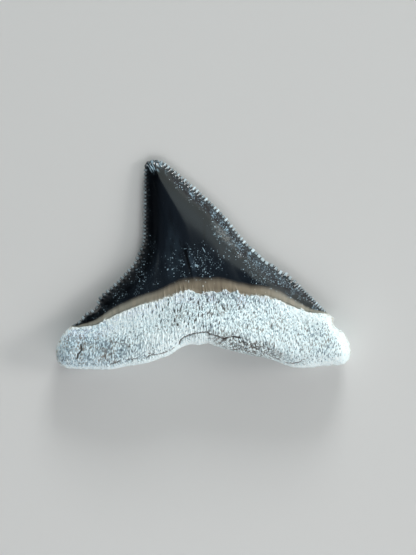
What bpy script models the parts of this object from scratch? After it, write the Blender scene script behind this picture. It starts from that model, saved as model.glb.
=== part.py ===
"""A fossil bull shark tooth, lying on its flat outer face with the tip of its crown towards +Y.

Run it in Blender: blender --background --python part.py

A shark tooth grows as one piece, so this is one solid: a serrated crown of enamel on a two-lobed
root. The rounded inner face, the side that faced the tongue, is up. The origin is at the middle of
the footprint, on the surface that the tooth lies on.

The solid is a UV sphere drawn out to the tooth. Its poles are the two places where the cutting edge
runs out on the root. Each of its circles of latitude becomes a station: a loop that climbs from the
rim of the root over the inner face to the cutting edge, and comes back under the outer face.
"""

import math

import bmesh
import bpy
from mathutils import Vector, noise

MM = 0.001
TINY = 1e-9

# Plan outlines, in millimetres from the middle of the footprint.

# The rim of the crown, from its left end over the tip to its right end. Each stretch has a name,
# its count of serrations, how far those stand out in millimetres, and its points.
CROWN_RIM = (
    ("left end", 6, 0.14, ((-11.18, -5.20), (-10.76, -4.98), (-10.40, -4.69), (-10.08, -4.29),
                           (-9.66, -4.01), (-9.19, -3.78), (-8.95, -3.42))),
    ("left heel", 15, 0.17, ((-8.89, -3.05), (-8.51, -2.59), (-7.24, -1.44), (-5.97, -0.04),
                             (-5.54, 0.76), (-5.24, 1.53))),
    ("left edge", 21, 0.10, ((-5.08, 2.42), (-5.02, 5.47), (-4.98, 8.19))),
    ("tip", 4, 0.04, ((-4.86, 8.61), (-4.57, 8.82), (-4.14, 8.88), (-3.72, 8.79))),
    ("right edge", 34, 0.13, ((-3.26, 8.58), (-1.66, 7.33), (0.13, 5.71), (1.68, 4.18),
                              (3.18, 2.31), (4.82, 0.56))),
    ("right nick", 8, 0.16, ((5.24, 0.16), (5.68, 0.00), (6.04, -0.12), (6.31, -0.42),
                             (6.69, -0.68), (7.15, -0.83), (7.47, -1.18), (7.95, -1.55))),
    ("right heel", 16, 0.09, ((9.05, -2.64), (9.69, -3.31), (10.54, -4.12))),
)

# The rim of the root, from the left end of the crown round both lobes to its right end.
ROOT_RIM = (
    (-11.18, -5.20), (-11.48, -5.46), (-11.86, -5.86), (-12.20, -6.41), (-12.43, -7.00),
    (-12.50, -7.60), (-12.37, -8.19), (-11.99, -8.61), (-11.31, -8.83), (-9.61, -8.89),
    (-7.75, -8.87), (-6.39, -8.61), (-4.86, -8.36), (-3.67, -7.98), (-2.74, -7.60), (-1.98, -7.09),
    (-1.13, -6.78), (-0.36, -6.81), (0.36, -6.68), (0.99, -6.87), (1.97, -7.19), (3.79, -7.65),
    (5.24, -7.92), (6.17, -8.19), (7.02, -8.53), (7.70, -8.72), (8.88, -8.76), (10.07, -8.62),
    (11.60, -8.53), (12.15, -8.30), (12.44, -7.76), (12.50, -7.20), (12.36, -6.62), (12.09, -6.07),
    (11.77, -5.68), (11.35, -5.43), (11.12, -5.18), (11.02, -4.90), (11.07, -4.69), (11.01, -4.50),
    (10.54, -4.12),
)

# Where the root meets the crown, on the inner face and on the outer one.
INNER_NECK = (
    (-11.18, -5.20), (-10.80, -5.27), (-10.01, -5.21), (-9.22, -5.10), (-8.64, -4.85),
    (-7.32, -4.19), (-5.12, -3.30), (-3.67, -2.91), (-2.49, -2.50), (-1.64, -2.25), (0.23, -2.32),
    (1.76, -2.20), (3.79, -2.52), (5.70, -2.74), (7.24, -3.35), (8.78, -3.95), (10.54, -4.12),
)
OUTER_NECK = (
    (-11.18, -5.20), (-10.20, -5.62), (-8.80, -5.55), (-6.60, -4.85), (-3.60, -3.95),
    (0.20, -3.55), (4.00, -3.90), (7.20, -4.55), (9.60, -4.70), (10.54, -4.12),
)

# The shares of the way along the neck and along the rim of the root, from left to right, against
# the share of the serrations.
ALONG_NECK = ((0.0, 0.0), (0.06, 0.125), (0.20, 0.28), (0.42, 0.44), (0.77, 0.72), (1.0, 1.0))
ALONG_RIM = ((0.0, 0.0), (0.06, 0.115), (0.20, 0.28), (0.42, 0.44), (0.77, 0.72), (0.88, 0.925),
             (1.0, 1.0))

# Heights above the ground in millimetres: of the cutting edge against the share of the serrations,
# and of the root's rim and crest against the share of the way along the neck.
CUTTING_EDGE_HEIGHT = ((0.0, 1.45), (0.10, 1.05), (0.25, 0.80), (0.43, 0.55), (0.65, 0.75),
                       (0.88, 1.00), (1.0, 1.35))
ROOT_RIM_HEIGHT = ((0.0, 1.45), (0.08, 1.45), (0.30, 1.60), (0.50, 1.75), (0.70, 1.60),
                   (0.92, 1.40), (1.0, 1.35))
ROOT_CREST_HEIGHT = ((0.0, 1.45), (0.04, 2.30), (0.10, 3.00), (0.25, 3.85), (0.38, 4.40),
                     (0.47, 4.48), (0.56, 4.40), (0.72, 3.95), (0.88, 3.20), (0.96, 2.40),
                     (1.0, 1.35))

# The sides of the crown without their notches and nicks, as X against the way up in Y, and how far
# the middle of its inner face stands above them.
CROWN_LEFT = ((-5.30, -11.40), (-3.50, -9.50), (-1.50, -7.45), (0.00, -6.20), (1.50, -5.40),
              (3.00, -5.15), (5.50, -5.07), (9.00, -4.98))
CROWN_RIGHT = ((-5.30, 11.90), (-4.10, 10.70), (0.50, 5.15), (4.18, 1.76), (8.50, -3.00),
               (9.00, -3.60))
CROWN_RISE = ((-5.60, 2.50), (-4.00, 2.45), (-2.50, 2.35), (-1.00, 2.20), (1.00, 1.95),
              (3.00, 1.60), (5.00, 1.20), (7.00, 0.75), (8.30, 0.35), (9.00, 0.05))

# Shapes across the tooth, in millimetres where not said otherwise.
FADING_SERRATIONS = 3
SERRATION_REACH = 0.38
REACH_SHARE = 0.25
NORMAL_WINDOW = 0.75
BEND_OF_WIDTH = 0.13
BEND_OF_NECK = 0.30
ROOT_ROUNDING = 1.35
OUTER_BEVEL = 1.9
OUTER_BEVEL_POWER = 1.6
ROOT_LIP = 0.14
LIP_FADE_SHARE = 0.06
CREST_SHARE = 0.35
LUMP_HEIGHT = 0.07
LUMP_SIZE = 1.6
GROOVE_SHARE = 0.494
GROOVE_HALF_SHARE = 0.007
GROOVE_DEPTH = 0.25
GROOVE_REACH = 0.55
HOLLOW_DEPTH = 0.34
HOLLOW_SHARE = 0.47
HOLLOW_HALF_SHARE = 0.24

# The rows of a loop, as shares of the way over the root, over the crown and under each of them.
# Stations fall on the serrations' gaps and points in turn.
ROOT_ROWS = (0.0, 0.04, 0.12, 0.24, 0.40, 0.60, 0.80, 0.95)
CROWN_ROWS = (0.0, 0.12, 0.30, 0.50, 0.70, 0.87, 1.0)
UNDER_CROWN_ROWS = (0.0, 0.22, 0.60)
UNDER_ROOT_ROWS = (0.0, 0.35, 0.65, 0.86, 0.96)
STATIONS_PER_SERRATION = 2
CURVE_STEPS = 10

SMOOTH_ANGLE = math.radians(50)
ENAMEL_COLOUR = (0.035, 0.042, 0.050, 1.0)
ENAMEL_ROUGHNESS = 0.25


def between(before, start, end, after, share):
    """Catmull-Rom interpolation from start to end, of numbers or vectors."""
    square, cube = share**2, share**3
    return 0.5 * (
        2 * start
        + (end - before) * share
        + (2 * before - 5 * start + 4 * end - after) * square
        + (3 * start - before - 3 * end + after) * cube
    )


def graded(table, place):
    """The value at a place in a table of (place, value) pairs, smoothly."""
    last = len(table) - 1
    index = next((i for i in range(1, last) if table[i][0] > place), last)
    (low, start), (high, end) = table[index - 1], table[index]
    before, after = table[max(index - 2, 0)][1], table[min(index + 1, last)][1]
    return between(before, start, end, after, (place - low) / (high - low))


def clamped(share):
    return min(max(share, 0.0), 1.0)


def dome(share):
    """Rises from 0 to 1, straight up at first and level at the end."""
    return math.sqrt(1 - (1 - clamped(share)) ** 2)


def ease(share):
    """Rises from 0 to 1, level at both ends."""
    share = clamped(share)
    return share * share * (3 - 2 * share)


class PlanLine:
    """A smooth line in plan through hand-set points, read by the distance along it."""

    def __init__(self, points):
        knots = [Vector(point) for point in points]
        knots = [2 * knots[0] - knots[1], *knots, 2 * knots[-1] - knots[-2]]
        self.samples = [knots[1]]
        for before, start, end, after in zip(knots, knots[1:], knots[2:], knots[3:]):
            for step in range(1, CURVE_STEPS + 1):
                self.samples.append(between(before, start, end, after, step / CURVE_STEPS))
        self.distances = [0.0]
        for start, end in zip(self.samples, self.samples[1:]):
            self.distances.append(self.distances[-1] + (end - start).length)

    def distance_of_point(self, index):
        return self.distances[index * CURVE_STEPS]

    def at(self, distance):
        last = len(self.samples) - 1
        index = next((i for i in range(1, last) if self.distances[i] > distance), last)
        start, end = self.samples[index - 1], self.samples[index]
        return start.lerp(end, (distance - self.distances[index - 1]) / (end - start).length)

    def at_share(self, share):
        return self.at(share * self.distances[-1])

    def left_of(self, distance):
        """The direction to the left of the line, averaged over a short run of it."""
        run = self.at(distance + NORMAL_WINDOW) - self.at(distance - NORMAL_WINDOW)
        return Vector((-run.y, run.x)).normalized()

    def distance_from(self, place):
        """How far a place is from the line, by the two chords at the nearest sample."""
        gaps = [(sample - place).length for sample in self.samples]
        index = gaps.index(min(gaps))
        nearest, corner = gaps[index], self.samples[index]
        for neighbour in (max(index - 1, 0), min(index + 1, len(gaps) - 1)):
            chord = self.samples[neighbour] - corner
            along = clamped((place - corner).dot(chord) / max(chord.length_squared, TINY))
            nearest = min(nearest, (corner + chord * along - place).length)
        return nearest


class CrownRim:
    """The cutting edge in plan: a smooth line, and the serrations that stand out from it."""

    def __init__(self):
        self.line = PlanLine([point for _, _, _, points in CROWN_RIM for point in points])
        self.serrations = sum(count for _, count, _, _ in CROWN_RIM)

    def at_share(self, share):
        """The smooth edge, the way outwards and the serrated edge, at a share of the serrations."""
        passed, last_point, start = share * self.serrations, -1, 0.0
        for _, count, stand_out, points in CROWN_RIM:
            last_point += len(points)
            end = self.line.distance_of_point(last_point)
            if passed <= count:
                break
            passed, start = passed - count, end
        distance = start + (end - start) * min(passed / count, 1.0)
        place, outward = self.line.at(distance), self.line.left_of(distance)
        end_fade = ease(min(share, 1 - share) * self.serrations / FADING_SERRATIONS)
        wave = -0.5 * math.cos(2 * math.pi * passed)
        return place, outward, place + outward * (stand_out * end_fade * wave)


def bent(start, control, end, share):
    """A curve from start to end that sets off towards the control point."""
    return start.lerp(control, share).lerp(control.lerp(end, share), share)


class Tooth:
    """The points of the tooth's surface, station by station."""

    def __init__(self):
        self.crown = CrownRim()
        self.root, self.inner_neck, self.outer_neck = (
            PlanLine(points) for points in (ROOT_RIM, INNER_NECK, OUTER_NECK)
        )
        self.last_station = self.crown.serrations * STATIONS_PER_SERRATION

    def crown_height(self, share, plan):
        """The height of the crown's inner face, which is a lens in every section across it."""
        left, right = graded(CROWN_LEFT, plan.y), graded(CROWN_RIGHT, plan.y)
        across = clamped((plan.x - left) / (right - left))
        lens = 4 * across * (1 - across)
        return graded(CUTTING_EDGE_HEIGHT, share) + graded(CROWN_RISE, plan.y) * lens

    def root_height(self, along, across, plan, neck_height):
        """The height of the root's inner face, at a share of the way across it to the neck."""
        lump = noise.noise(Vector((plan.x, plan.y, 0.0)) / LUMP_SIZE)
        crest = graded(ROOT_CREST_HEIGHT, along) + LUMP_HEIGHT * lump * dome(across / CREST_SHARE)
        groove = math.exp(-(((along - GROOVE_SHARE) / GROOVE_HALF_SHARE) ** 2))
        crest -= GROOVE_DEPTH * groove * ease((GROOVE_REACH - across) / CREST_SHARE)
        rim = graded(ROOT_RIM_HEIGHT, along)
        rise = rim + (crest - rim) * dome(self.root.distance_from(plan) / ROOT_ROUNDING)
        lip = ROOT_LIP * ease(min(along, 1 - along) / LIP_FADE_SHARE)
        fall = ease((across - CREST_SHARE) / (ROOT_ROWS[-1] - CREST_SHARE))
        return rise + (neck_height + lip - rise) * fall

    def under_height(self, share, along, plan):
        """The height of the outer face: flat, with a bevel to the edge and a hollow in the root."""
        from_edge = clamped(self.crown.line.distance_from(plan) / OUTER_BEVEL)
        bevel = graded(CUTTING_EDGE_HEIGHT, share) * (1 - from_edge) ** OUTER_BEVEL_POWER
        from_rim = dome(self.root.distance_from(plan) / ROOT_ROUNDING)
        return max(bevel, graded(ROOT_RIM_HEIGHT, along) * (1 - from_rim))

    def loop(self, share):
        """The points round one station, from the rim of the root over the top and back below."""
        along = graded(ALONG_NECK, share)
        root = self.root.at_share(graded(ALONG_RIM, share))
        inner, outer = self.inner_neck.at_share(along), self.outer_neck.at_share(along)
        edge, outward, serrated = self.crown.at_share(share)
        to_neck = (edge - inner).length
        inset = edge - outward * min(SERRATION_REACH, REACH_SHARE * to_neck)
        width = graded(CROWN_RIGHT, edge.y) - graded(CROWN_LEFT, edge.y)
        control = inset - outward * min(BEND_OF_WIDTH * width, BEND_OF_NECK * to_neck)
        neck_height = self.crown_height(share, inner)
        points = []
        for across in ROOT_ROWS:
            plan = root.lerp(inner, across)
            points.append((*plan, self.root_height(along, across, plan, neck_height)))
        for across in CROWN_ROWS:
            plan = bent(inner, control, inset, across)
            points.append((*plan, self.crown_height(share, plan)))
        points.append((*serrated, graded(CUTTING_EDGE_HEIGHT, share)))
        for across in UNDER_CROWN_ROWS:
            plan = bent(inset, control, outer, across)
            points.append((*plan, self.under_height(share, along, plan)))
        side = ease(1 - abs(along - HOLLOW_SHARE) / HOLLOW_HALF_SHARE)
        for across in UNDER_ROOT_ROWS:
            plan = outer.lerp(root, across)
            hollow = HOLLOW_DEPTH * side * math.sin(math.pi * across)
            points.append((*plan, max(self.under_height(share, along, plan), hollow)))
        return points

    def loops(self):
        """The loops of all stations. At each pole a loop's points are one and the same."""
        inner = [self.loop(index / self.last_station) for index in range(1, self.last_station)]
        left, right = (
            [(*self.root.at_share(share), graded(CUTTING_EDGE_HEIGHT, share))] * len(inner[0])
            for share in (0.0, 1.0)
        )
        return [left, *inner, right]


def build_tooth(collection):
    loops = Tooth().loops()
    rows, last_station = len(loops[0]), len(loops) - 1
    bm = bmesh.new()
    bmesh.ops.create_uvsphere(bm, u_segments=rows, v_segments=last_station, radius=1.0)
    for vert in bm.verts:
        x, y, z = vert.co
        station = round(math.atan2(math.hypot(x, y), z) / math.pi * last_station)
        row = round(math.atan2(y, x) / (2 * math.pi) * rows) % rows
        vert.co = Vector(loops[station][row]) * MM
    mesh = bpy.data.meshes.new("tooth")
    bm.to_mesh(mesh)
    bm.free()
    mesh.shade_smooth()
    mesh.set_sharp_from_angle(angle=SMOOTH_ANGLE)
    mesh.materials.append(enamel())
    tooth = bpy.data.objects.new("tooth", mesh)
    collection.objects.link(tooth)


def enamel():
    material = bpy.data.materials.new("fossil enamel")
    material.use_nodes = True
    shader = material.node_tree.nodes["Principled BSDF"]
    shader.inputs["Base Color"].default_value = ENAMEL_COLOUR
    shader.inputs["Roughness"].default_value = ENAMEL_ROUGHNESS
    shader.inputs["Metallic"].default_value = 0.0
    return material


def main():
    for old in list(bpy.data.objects):
        bpy.data.objects.remove(old, do_unlink=True)
    collection = bpy.data.collections.new("bull shark tooth")
    bpy.context.scene.collection.children.link(collection)
    build_tooth(collection)


main()
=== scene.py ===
"""The looks of a fossil bull shark tooth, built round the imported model.

The tooth lies on its outer face with its rounded inner face up. This script replaces the plain
solid with a finely drawn surface of the same form: rounded serrations that run on as ridges, a
ragged lip where the root meets the band, and the root's pits, cracks and groove. Lengths are in
millimetres until the mesh is made. A place in plan is a complex number, X plus 1j times Y.
"""

from __future__ import annotations

import logging
import math
from dataclasses import dataclass, field
from enum import Enum
from typing import Union

import bmesh
import bpy
import numpy as np
from mathutils import Matrix, Vector, noise


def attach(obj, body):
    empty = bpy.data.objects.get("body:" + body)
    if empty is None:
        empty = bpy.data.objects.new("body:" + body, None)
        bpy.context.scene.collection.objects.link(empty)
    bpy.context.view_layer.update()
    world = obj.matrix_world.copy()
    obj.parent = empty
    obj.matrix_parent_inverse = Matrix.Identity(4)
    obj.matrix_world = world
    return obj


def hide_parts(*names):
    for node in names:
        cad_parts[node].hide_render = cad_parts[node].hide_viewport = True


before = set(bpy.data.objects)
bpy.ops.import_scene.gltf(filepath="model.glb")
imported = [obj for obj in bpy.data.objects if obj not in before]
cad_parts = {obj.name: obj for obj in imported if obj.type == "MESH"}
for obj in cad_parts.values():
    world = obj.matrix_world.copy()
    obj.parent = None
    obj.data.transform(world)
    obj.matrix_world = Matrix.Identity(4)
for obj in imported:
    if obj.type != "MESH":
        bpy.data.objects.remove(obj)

LOG = logging.getLogger("tooth")
MM = 0.001
TINY = 1e-9
# How many samples a line has between two of its points.
CURVE_STEPS = 10
# A patch or a pit fades out from 0.6 to this many of its half widths.
FADE_END = 1.6
# A half height in millimetres that takes in the whole tooth.
ANY_HEIGHT = 1000.0
# The waves and the scale of the sine that gives random shares.
CHANCE_WAVES = (127.1, 311.7, 74.7)
CHANCE_SCALE = 43758.5453
# The energy of a light for each unit of its radiance and its area.
ENERGY_FOR_RADIANCE = 4.0
# The fields of the surface that the shader reads.
SHOWN = ("neck", "edge", "rim", "bead", "pit", "crack", "speckled", "tip", "shine", "granular",
         "pale", "haze_and_painted_light")

Array = np.ndarray
Table = tuple[tuple[float, float], ...]
Points = tuple[tuple[float, float], ...]
Numeric = Union[float, "Value"]
Triple = tuple[float, float, float]
Colour = Triple


# Curves and easing


def between(before: Array, start: Array, end: Array, after: Array, share: Array) -> Array:
    """Interpolates from start to end by Catmull-Rom.

    Args:
        before: the value ahead of start.
        start: the value at share 0.
        end: the value at share 1.
        after: the value past end.
        share: how far from start to end.

    Returns:
        The value there.
    """
    square, cube = share**2, share**3
    return 0.5 * (
        2 * start
        + (end - before) * share
        + (2 * before - 5 * start + 4 * end - after) * square
        + (3 * start - before - 3 * end + after) * cube
    )


def graded(table: Table, places: Array) -> Array:
    """Reads a table of (place, value) pairs smoothly.

    Args:
        table: the pairs, in rising order of place.
        places: where to read it.

    Returns:
        The value at each place.
    """
    steps, values = np.array(table).T
    last = len(table) - 1
    index = np.clip(np.searchsorted(steps, places, side="right"), 1, last)
    share = (places - steps[index - 1]) / (steps[index] - steps[index - 1])
    before, after = values[np.maximum(index - 2, 0)], values[np.minimum(index + 1, last)]
    return between(before, values[index - 1], values[index], after, share)


def dome(share: Array) -> Array:
    """Rises from 0 to 1, straight up at first and level at the end."""
    return np.sqrt(1 - (1 - np.clip(share, 0, 1)) ** 2)


def ease(share: Array) -> Array:
    """Rises from 0 to 1, level at both ends."""
    share = np.clip(share, 0, 1)
    return share * share * (3 - 2 * share)


def rise(places: Array, start: float, end: float) -> Array:
    """Rises from 0 at start to 1 at end, level at both."""
    return ease((places - start) / (end - start))


def inside(distance: Array, width: float) -> Array:
    """Falls from 1 to 0 over a width, halfway down where the distance is 0."""
    return ease(0.5 - distance / width)


def ridge(distance: Array, half_width: float) -> Array:
    """A bell, 1 at distance 0 and near 0 past two half widths."""
    return np.exp(-((distance / half_width) ** 2))


def bent(start: Array, control: Array, end: Array, share: Array) -> Array:
    """A curve from start to end that sets off towards the control point."""
    return (1 - share) ** 2 * start + 2 * share * (1 - share) * control + share**2 * end


class PlanLine:
    """A smooth line in plan through given points, read by the distance along it."""

    def __init__(self, points: Points) -> None:
        """Draws the line.

        Args:
            points: the places that it passes, in millimetres.
        """
        knots = np.array([complex(*point) for point in points])
        knots = np.array([2 * knots[0] - knots[1], *knots, 2 * knots[-1] - knots[-2]])
        shares = np.arange(1, CURVE_STEPS + 1) / CURVE_STEPS
        runs = [between(*knots[i : i + 4], shares) for i in range(len(knots) - 3)]
        self.samples = np.concatenate([knots[1:2], *runs])
        self.distances = np.concatenate([[0.0], np.cumsum(abs(np.diff(self.samples)))])

    def at(self, distances: Array) -> Array:
        """Finds places on the line.

        Args:
            distances: how far along the line they are.

        Returns:
            The places.
        """
        index = np.clip(np.searchsorted(self.distances, distances, side="right"), 1, None)
        index = np.minimum(index, len(self.samples) - 1)
        chord = self.samples[index] - self.samples[index - 1]
        return self.samples[index - 1] + chord * (distances - self.distances[index - 1]) / abs(chord)

    def at_shares(self, shares: Array) -> Array:
        """The places at some shares of the line's length."""
        return self.at(shares * self.distances[-1])

    def left_of(self, distances: Array, window: float) -> Array:
        """The direction to the left of the line, averaged over a window either way."""
        run = self.at(distances + window) - self.at(distances - window)
        return 1j * run / abs(run)

    def distance_from(self, places: Array) -> Array:
        """How far each place is from the line.

        Args:
            places: a grid of places.

        Returns:
            The distances, in a grid of the same shape.
        """
        index = np.array([abs(row[:, None] - self.samples).argmin(axis=1) for row in places])
        corner = self.samples[index]
        nearest = abs(corner - places)
        for step in (-1, 1):
            chord = self.samples[np.clip(index + step, 0, len(self.samples) - 1)] - corner
            length = np.maximum(abs(chord) ** 2, TINY)
            along = np.clip(((places - corner) * chord.conj()).real / length, 0, 1)
            nearest = np.minimum(nearest, abs(corner + chord * along - places))
        return nearest


def rough(places: Array, size: float, seed: float) -> Array:
    """Smooth noise from about -1 to 1 at some places.

    Args:
        places: the places, as a grid of complex numbers.
        size: the size of its lumps.
        seed: which noise it is.

    Returns:
        The noise, in a grid of the same shape.
    """
    flat = places.ravel() / size
    found = [noise.noise(Vector((x, y, seed))) for x, y in zip(flat.real, flat.imag)]
    return np.array(found).reshape(places.shape)


@dataclass(frozen=True)
class Lumps:
    """Smooth lumps in plan, by their size, their height and which noise they follow."""

    size: float
    height: float
    seed: float

    def at(self, places: Array) -> Array:
        """How high they stand at each place."""
        return self.height * rough(places, self.size, self.seed)


def chance(places: Array, seed: float) -> Array:
    """A random share from 0 to 1 for each whole-numbered place."""
    over_x, over_y, over_seed = CHANCE_WAVES
    return np.sin(places.real * over_x + places.imag * over_y + seed * over_seed) * CHANCE_SCALE % 1.0


def cells(places: Array, seed: float) -> tuple[Array, Array]:
    """Scattered points, one to each unit square.

    Args:
        places: the places, as a grid of complex numbers.
        seed: which scatter it is.

    Returns:
        The distance from each place to its nearest point, and that point's own random share.
    """
    corner = np.floor(places.real) + 1j * np.floor(places.imag)
    nearest, share = np.full(places.shape, np.inf), np.zeros(places.shape)
    for step in (complex(x, y) for x in (-1, 0, 1) for y in (-1, 0, 1)):
        square = corner + step
        point = square + chance(square, seed) + 1j * chance(square, seed + 1)
        distance = abs(point - places)
        share = np.where(distance < nearest, chance(square, seed + 2), share)
        nearest = np.minimum(nearest, distance)
    return nearest, share


# The form of the tooth


@dataclass(frozen=True)
class Stretch:
    """A stretch of the cutting edge, with its own serrations."""

    serrations: int
    stand_out: float
    shine: float
    points: Points


@dataclass(frozen=True)
class Outline:
    """The tooth's lines in plan, in millimetres from the middle of its footprint."""

    edge: tuple[Stretch, ...] = (
        # The left end.
        Stretch(6, 0.16, 0.6, (
            (-11.18, -5.20), (-10.76, -4.98), (-10.40, -4.69), (-10.08, -4.29), (-9.66, -4.01),
            (-9.19, -3.78), (-8.95, -3.42))),
        # The left heel.
        Stretch(15, 0.20, 0.55, (
            (-8.89, -3.05), (-8.51, -2.59), (-7.24, -1.44), (-5.97, -0.04), (-5.54, 0.76),
            (-5.24, 1.53))),
        # The left edge.
        Stretch(21, 0.12, 0.70, ((-5.08, 2.42), (-5.02, 5.47), (-4.98, 8.19))),
        # The tip.
        Stretch(4, 0.05, 0.2, ((-4.86, 8.61), (-4.57, 8.82), (-4.14, 8.88), (-3.72, 8.79))),
        # The upper right edge.
        Stretch(7, 0.12, 0.75, ((-3.26, 8.58), (-1.66, 7.33))),
        # The right edge.
        Stretch(27, 0.15, 1.0, ((0.13, 5.71), (1.68, 4.18), (3.18, 2.31), (4.82, 0.56))),
        # The right nick, with its cusps.
        Stretch(8, 0.18, 0.8, (
            (5.24, 0.16), (5.68, 0.00), (6.04, -0.12), (6.31, -0.42), (6.69, -0.68), (7.15, -0.83),
            (7.47, -1.18), (7.95, -1.55))),
        # The right heel.
        Stretch(16, 0.12, 0.9, ((9.05, -2.64), (9.69, -3.31), (10.54, -4.12))),
    )
    root_rim: Points = (
        (-11.18, -5.20), (-11.48, -5.46), (-11.86, -5.86), (-12.20, -6.41), (-12.43, -7.00),
        (-12.50, -7.60), (-12.37, -8.19), (-11.99, -8.61), (-11.31, -8.83), (-9.61, -8.89),
        (-7.75, -8.87), (-6.39, -8.61), (-4.86, -8.36), (-3.67, -7.98), (-2.74, -7.60),
        (-1.98, -7.09), (-1.13, -6.78), (-0.36, -6.81), (0.36, -6.68), (0.99, -6.87),
        (1.97, -7.19), (3.79, -7.65), (5.24, -7.92), (6.17, -8.19), (7.02, -8.53),
        (7.70, -8.72), (8.88, -8.76), (10.07, -8.62), (11.60, -8.53), (12.15, -8.30),
        (12.44, -7.76), (12.50, -7.20), (12.36, -6.62), (12.09, -6.07), (11.77, -5.68),
        (11.35, -5.43), (11.12, -5.18), (11.02, -4.90), (11.07, -4.69), (11.01, -4.50),
        (10.54, -4.12),
    )
    inner_neck: Points = (
        (-11.18, -5.20), (-10.80, -5.27), (-10.01, -5.21), (-9.22, -5.10), (-8.64, -4.85),
        (-7.32, -4.19), (-5.12, -3.30), (-3.67, -2.91), (-2.49, -2.50), (-1.64, -2.25),
        (0.23, -2.32), (1.76, -2.20), (3.79, -2.52), (5.70, -2.74), (7.24, -3.35),
        (8.78, -3.95), (10.54, -4.12),
    )
    outer_neck: Points = (
        (-11.18, -5.20), (-10.20, -5.62), (-8.80, -5.55), (-6.60, -4.85), (-3.60, -3.95),
        (0.20, -3.55), (4.00, -3.90), (7.20, -4.55), (9.60, -4.70), (10.54, -4.12),
    )
    crown_left: Table = ((-5.30, -11.40), (-3.50, -9.50), (-1.50, -7.45), (0.00, -6.20),
                         (1.50, -5.40), (3.00, -5.15), (5.50, -5.07), (9.00, -4.98))
    crown_right: Table = ((-5.30, 11.90), (-4.10, 10.70), (0.50, 5.15), (4.18, 1.76),
                          (8.50, -3.00), (9.00, -3.60))


@dataclass(frozen=True)
class Heights:
    """Heights in millimetres, against the share of the serrations or of the neck, or against Y."""

    cutting_edge: Table = ((0.0, 1.45), (0.10, 1.05), (0.25, 0.80), (0.43, 0.55), (0.65, 0.75),
                           (0.88, 1.00), (1.0, 1.35))
    root_rim: Table = ((0.0, 1.45), (0.08, 1.45), (0.30, 1.60), (0.50, 1.75), (0.70, 1.60),
                       (0.92, 1.40), (1.0, 1.35))
    root_crest: Table = ((0.0, 1.45), (0.04, 2.30), (0.10, 3.00), (0.25, 3.85), (0.38, 4.40),
                         (0.47, 4.48), (0.56, 4.40), (0.72, 3.95), (0.88, 3.20), (0.96, 2.40),
                         (1.0, 1.35))
    crown_rise: Table = ((-5.60, 2.50), (-4.00, 2.45), (-2.50, 2.35), (-1.00, 2.20),
                         (1.00, 1.95), (3.00, 1.60), (5.00, 1.20), (7.00, 0.75), (8.30, 0.35),
                         (9.00, 0.05))


@dataclass(frozen=True)
class Rows:
    """How a loop's rows are spread over its parts, and how many stations a serration has."""

    root: int = 52
    lip: int = 12
    crown: int = 26
    edge: int = 9
    under_edge: int = 5
    under_crown: int = 12
    under_root: int = 16
    stations_per_serration: int = 7


class Part(Enum):
    """The parts of a loop, in the order that it passes them."""

    ROOT = 0
    CROWN = 1
    EDGE = 2
    UNDER_EDGE = 3
    UNDER_CROWN = 4
    UNDER_ROOT = 5


@dataclass
class Surface:
    """The tooth's surface as grids of stations by rows. The relief fills in the fields from pit on."""

    plan: Array
    height: Array
    part: Array
    along: Array
    bead: Array
    shine: Array
    neck: Array
    edge: Array
    rim: Array
    pit: Array = field(init=False)
    crack: Array = field(init=False)
    granular: Array = field(init=False)
    pale: Array = field(init=False)
    speckled: Array = field(init=False)
    haze_and_painted_light: Array = field(init=False)
    tip: Array = field(init=False)

    def on_root(self) -> Array:
        """Where the surface is on the root's side of the neck, as a mask of the rows."""
        return np.isin(self.part, [Part.ROOT.value, Part.UNDER_ROOT.value])

    def inner(self) -> Array:
        """Where the surface is on the inner side, up to the cutting edge, as a mask of the rows."""
        return self.part < Part.UNDER_EDGE.value

    def push(self, amount: Array) -> None:
        """Moves the surface outwards along its normals, but never below the ground.

        Args:
            amount: how far, in millimetres, negative to sink it.
        """
        down = np.gradient(self.plan, axis=0), np.gradient(self.height, axis=0)
        over = tuple((np.roll(grid, -1, axis=1) - np.roll(grid, 1, axis=1)) / 2
                     for grid in (self.plan, self.height))
        up = (over[0] * down[0].conj()).imag
        sideways = 1j * (down[0] * over[1] - over[0] * down[1])
        length = np.sqrt(abs(sideways) ** 2 + up**2) + TINY
        self.plan = self.plan - sideways / length * amount
        self.height = np.maximum(self.height + up / length * amount, 0)


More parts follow.
